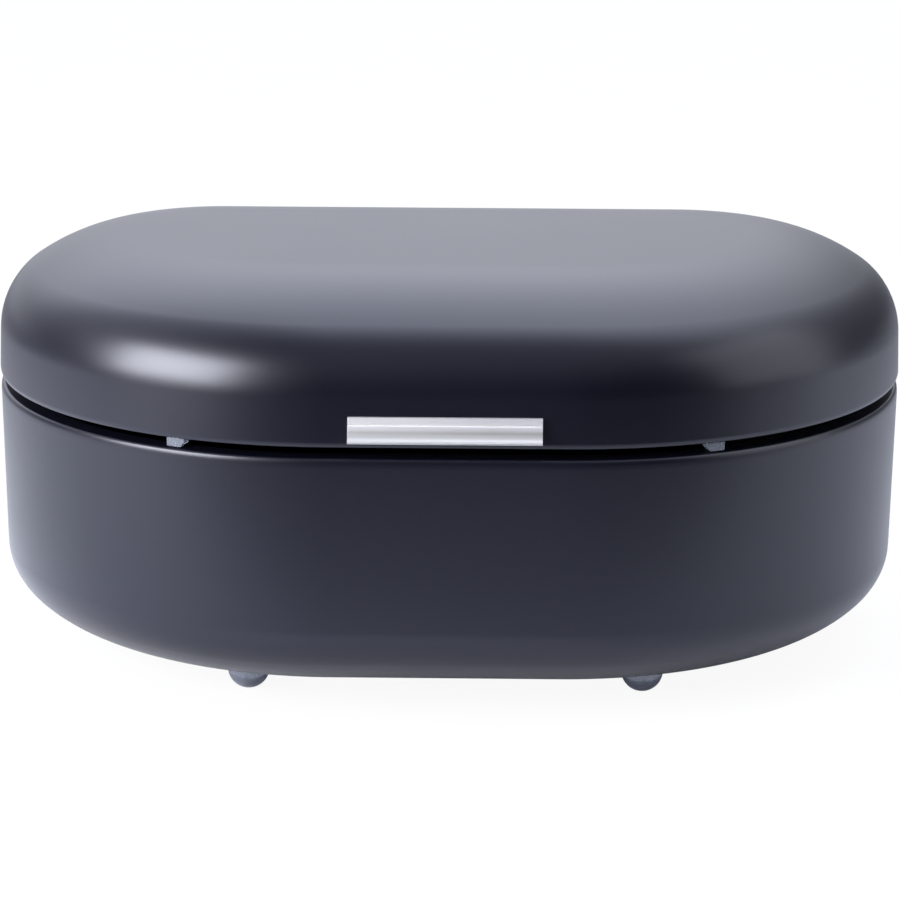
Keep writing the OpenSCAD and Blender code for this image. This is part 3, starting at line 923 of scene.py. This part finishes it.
class BREADBIN_OT_make_feet(bpy.types.Operator):
    """Turns the four domed feet with the necks and heads that hold them in the floor"""

    bl_idname = "bread_bin.make_feet"
    bl_label = "Make feet"

    def execute(self, context):
        rubber = context.scene.bread_bin_rubber
        material = bpy.data.materials.get("moulded_rubber") or rubber_material(rubber)
        ball_z = math.sqrt(rubber.foot_r ** 2 - rubber.foot_flat_r ** 2)
        swing = math.degrees(math.atan2(ball_z, rubber.foot_flat_r))
        floor_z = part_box("base_tub")[0].z
        edge = rubber.foot_edge_r
        neck_r = rubber.foot_neck_r
        head_r = neck_r + rubber.foot_head_over
        for place in FEET:
            node = "foot_" + place
            low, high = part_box(node)
            head_base = high.z - rubber.foot_head_h
            middle = ((low.x + high.x) / 2, (low.y + high.y) / 2, low.z)
            outline = Outline("rubber_" + node, middle, ALONG, UP, (0, 0))
            outline.line((rubber.foot_flat_r, 0))
            outline.arc((0, ball_z), swing, 20)
            outline.line((rubber.foot_r, floor_z - edge))
            outline.arc((rubber.foot_r - edge, floor_z - edge), 90, 5)
            outline.line((neck_r, floor_z), (neck_r, head_base), (head_r, head_base))
            outline.dome(head_r, rubber.foot_head_h, head_base)
            piece = outline.turn_round(FOOT_STEPS)
            bpy.ops.object.shade_smooth_by_angle(angle=SMOOTH_ANGLE)
            hand_over(piece, "tub", "clear_rubber", material, node)
        return {"FINISHED"}


class BREADBIN_OT_make_hinges(bpy.types.Operator):
    """Gives leaves, pins, rivets and screws their rounded edges and plating"""

    bl_idname = "bread_bin.make_hinges"
    bl_label = "Make hinges and screws"

    def execute(self, context):
        hinges = context.scene.bread_bin_hinges
        material = steel_material(hinges)
        for body, nodes in frame["record"]["behaviour"]["bodies"].items():
            for node in nodes:
                if not node.startswith(("hinge_", "pull_screw_")):
                    continue
                piece = softened_copy(node, "steel_" + node, hinges.edge_r)
                hand_over(piece, body, "plated_steel", material, node)
        return {"FINISHED"}


# ---------------------------------------------------------------- studio

# A fade says where a change starts, where it ends, and the value before and after it.
# Fades of the floor, in metres from the middle of the object:
# painted light: a pale pool painted on the floor round the feet, where the object's shade falls
FLOOR_PAINTED_GLOW = (0.18, 0.24, 1, 0)       # palest round the feet
FLOOR_GLOW_SHIFT = 0.05               # the pale part lies this far to the left
FLOOR_GLOW_OVAL = 0.6                 # and is wider than deep
# painted shade: in reflections the floor dims farther forward and goes dark before, behind and beside
# the object
FLOOR_AHEAD = (-0.05, -0.2, 0, 1)      # what lies before the object and not beside it
FLOOR_PAINTED_DIM = (0.21, 0.31, 1, 0.5)       # share of the tone that is left farther forward
FLOOR_DIM_WIDE = 0.17                  # towards the sides it starts later,
FLOOR_DIM_RIGHT = 0.08                 # less so on the right
FLOOR_PAINTED_DARK = (0.46, 0.6, 0, 0.98)      # where the pale floor ends in the dark
FLOOR_PAINTED_DARK_OVAL = 0.3
FLOOR_BEHIND = (0.1, 0.7, 0, 0.55)
FLOOR_BESIDE = (-0.7, -0.95, 0, 0.2)
FLOOR_WHITE = 0.93                     # seen as plain white; the rest keeps the shadow

# Fades of the world, over the parts of a direction of length one:
SKY_HEIGHT = (0.1, 0.87)               # from the horizon to overhead
SKY_HORIZON = (-0.4, 0.5, 0.08, 0.245)  # light at the horizon, front to back
SKY_DEPTH = (-0.4, 0.15, 0.15, 1)      # darker in front
SKY_LEFT = (0.42, 0.78, 0.38, 1)       # darker on the left
SKY_RIGHT = (0, 0.7, 1, 0.2)           # darker on the right,
SKY_RIGHT_LIFT = 1.35                  # less so higher up
SKY_ACROSS = (-0.3, 0.1, 0, 1)         # where the left ends and the right starts
TINY = 0.001                           # keeps a divisor above zero

KEY_PLACE = (-0.97, -0.68, 0.51)
KEY_SIZE = (0.8, 0.62)
FILL_PLACE = (1.11, -0.32, 0.56)
FILL_SIZE = (0.95, 1.05)
LIT_POINT = (0, 0, 0.1)
SENSOR_W = 36    # in the millimetres that the lens is given in


def floor_material(studio):
    """Pale floor that the camera sees as white; in reflections it has a painted pool of light round
    the object and painted shade that ends in the dark before the object
    """
    material, finish = new_finish("studio_floor")
    seen = finish.seen()
    place = finish.add("ShaderNodeTexCoord", output="Object")
    x, y = finish.parts(place, "X", "Y")
    wide = (x * x) ** 0.5
    # painted shade: the floor that reflections see dims forward and goes dark far away; the camera
    # does not see it
    forward = FLOOR_DIM_RIGHT * x - y - FLOOR_DIM_WIDE * wide
    dim = finish.limits(forward, *FLOOR_PAINTED_DIM)
    dark = finish.limits((x * x * FLOOR_PAINTED_DARK_OVAL + y * y) ** 0.5, *FLOOR_PAINTED_DARK)
    front = (1 - dim * (1 - dark)) * finish.limits(y, *FLOOR_AHEAD)
    behind = finish.limits(y, *FLOOR_BEHIND)
    beside = finish.limits(x, *FLOOR_BESIDE)
    edge = 1 - (1 - front) * (1 - behind) * (1 - beside)
    # painted light: the paler pool painted round the feet
    aside = x + FLOOR_GLOW_SHIFT
    close = finish.limits((aside * aside * FLOOR_GLOW_OVAL + y * y) ** 0.5, *FLOOR_PAINTED_GLOW)
    grain = finish.noise(place, studio.floor_grain, detail=3)
    tone = finish.mix(grain, studio.floor_colour, shade(studio.floor_colour, 1.03))
    pale = finish.mix(close, tone, studio.floor_painted_glow)
    paint = finish.add("ShaderNodeBsdfDiffuse", {}, {
        "Color": finish.mix(edge * (1 - seen), pale, studio.floor_painted_dark)})
    white = finish.add("ShaderNodeEmission", {}, {"Color": WHITE, "Strength": 1.0})
    both = finish.add("ShaderNodeMixShader", {}, {0: seen * FLOOR_WHITE, 1: paint, 2: white})
    finish.add("ShaderNodeOutputMaterial", {}, {"Surface": both})
    return material


def studio_world(studio):
    """Brightest high up behind the object, fading to the sides, the horizon and the front"""
    world = bpy.data.worlds.new("studio_world")
    finish = Finish(world)
    seen = finish.seen()
    way = finish.add("ShaderNodeTexCoord", output="Generated")
    x, y, z = finish.parts(way, "X", "Y", "Z")
    level_part = (x * x + y * y) ** 0.5 + TINY
    height = finish.limits(z, *SKY_HEIGHT, finish.limits(y, *SKY_HORIZON), 1)
    left = finish.limits(y / level_part, *SKY_LEFT)
    right = finish.limits(x * (SKY_RIGHT_LIFT - z), *SKY_RIGHT)
    across = finish.limits(x, *SKY_ACROSS)
    sides = left * (1 - across) + right * across
    depth = finish.limits(y, *SKY_DEPTH)
    light = finish.add("ShaderNodeBackground", {}, {
        "Color": opaque(studio.sky_colour), "Strength": studio.sky_strength * height * sides * depth})
    white = finish.add("ShaderNodeBackground", {}, {"Color": WHITE, "Strength": 1.0})
    both = finish.add("ShaderNodeMixShader", {}, {0: seen, 1: light, 2: white})
    finish.add("ShaderNodeOutputWorld", {}, {"Surface": both})
    return world


def add_softbox(name, place, size, power):
    """A rectangular area light that looks at the object"""
    select_none()
    aim = (Vector(LIT_POINT) - Vector(place)).to_track_quat("-Z", "Y")
    bpy.ops.object.light_add(type="AREA", location=place, rotation=aim.to_euler())
    lamp = bpy.context.object
    lamp.name = name
    lamp.data.shape = "RECTANGLE"
    lamp.data.size, lamp.data.size_y = size
    lamp.data.energy = power


class BREADBIN_OT_build_studio(bpy.types.Operator):
    """Lays the floor, hangs the lights and aims the camera"""

    bl_idname = "bread_bin.build_studio"
    bl_label = "Build studio"

    def execute(self, context):
        studio = context.scene.bread_bin_studio
        select_none()
        bpy.ops.mesh.primitive_plane_add(size=studio.floor_w, location=(0, 0, 0))
        floor = bpy.context.object
        floor.name = "studio_floor"
        floor.data.materials.append(floor_material(studio))
        context.scene.world = studio_world(studio)
        add_softbox("key", KEY_PLACE, KEY_SIZE, studio.key_power)
        add_softbox("fill", FILL_PLACE, FILL_SIZE, studio.fill_power)

        aim = Vector(studio.aim)
        back = Vector((math.sin(studio.azimuth) * math.cos(studio.elevation),
                       -math.cos(studio.azimuth) * math.cos(studio.elevation),
                       math.sin(studio.elevation)))
        bpy.ops.object.camera_add()
        camera = bpy.context.object
        camera.matrix_world = (Matrix.Translation(aim + studio.distance * back)
                               @ Matrix.Rotation(studio.azimuth, 4, "Z")
                               @ Matrix.Rotation(math.pi / 2 - studio.elevation, 4, "X")
                               @ Matrix.Rotation(studio.roll, 4, "Z"))
        camera.data.sensor_width = SENSOR_W
        camera.data.lens = studio.lens
        camera.data.shift_y = studio.lens_shift
        context.scene.camera = camera
        context.scene.view_settings.view_transform = "Standard"
        return {"FINISHED"}


class BREADBIN_PT_panel(bpy.types.Panel):
    """Lists the steps that dress the bread bin"""

    bl_idname = "BREADBIN_PT_panel"
    bl_label = "Bread bin"
    bl_space_type = "VIEW_3D"
    bl_region_type = "UI"
    bl_category = "Bread bin"

    def draw(self, context):
        for step in STEPS:
            self.layout.operator(step.bl_idname)
        for name, group in GROUPS.items():
            box = self.layout.box()
            settings = getattr(context.scene, name)
            for label in group.__annotations__:
                box.prop(settings, label)


GROUPS = {
    "bread_bin_shells": BREADBIN_PG_shells,
    "bread_bin_coat": BREADBIN_PG_coat,
    "bread_bin_pull": BREADBIN_PG_pull,
    "bread_bin_rubber": BREADBIN_PG_rubber,
    "bread_bin_hinges": BREADBIN_PG_hinges,
    "bread_bin_studio": BREADBIN_PG_studio,
}
STEPS = (
    BREADBIN_OT_make_shells,
    BREADBIN_OT_make_pull,
    BREADBIN_OT_make_bumpers,
    BREADBIN_OT_make_feet,
    BREADBIN_OT_make_hinges,
    BREADBIN_OT_build_studio,
)
CLASSES = (*GROUPS.values(), *STEPS, BREADBIN_PT_panel)


def register():
    for item in CLASSES:
        bpy.utils.register_class(item)
    for name, group in GROUPS.items():
        setattr(bpy.types.Scene, name, PointerProperty(type=group))


def unregister():
    for name in GROUPS:
        delattr(bpy.types.Scene, name)
    for item in reversed(CLASSES):
        bpy.utils.unregister_class(item)


def main():
    register()
    bpy.ops.bread_bin.make_shells()
    bpy.ops.bread_bin.make_pull()
    bpy.ops.bread_bin.make_bumpers()
    bpy.ops.bread_bin.make_feet()
    bpy.ops.bread_bin.make_hinges()
    bpy.ops.bread_bin.build_studio()


if __name__ == "__main__":
    main()
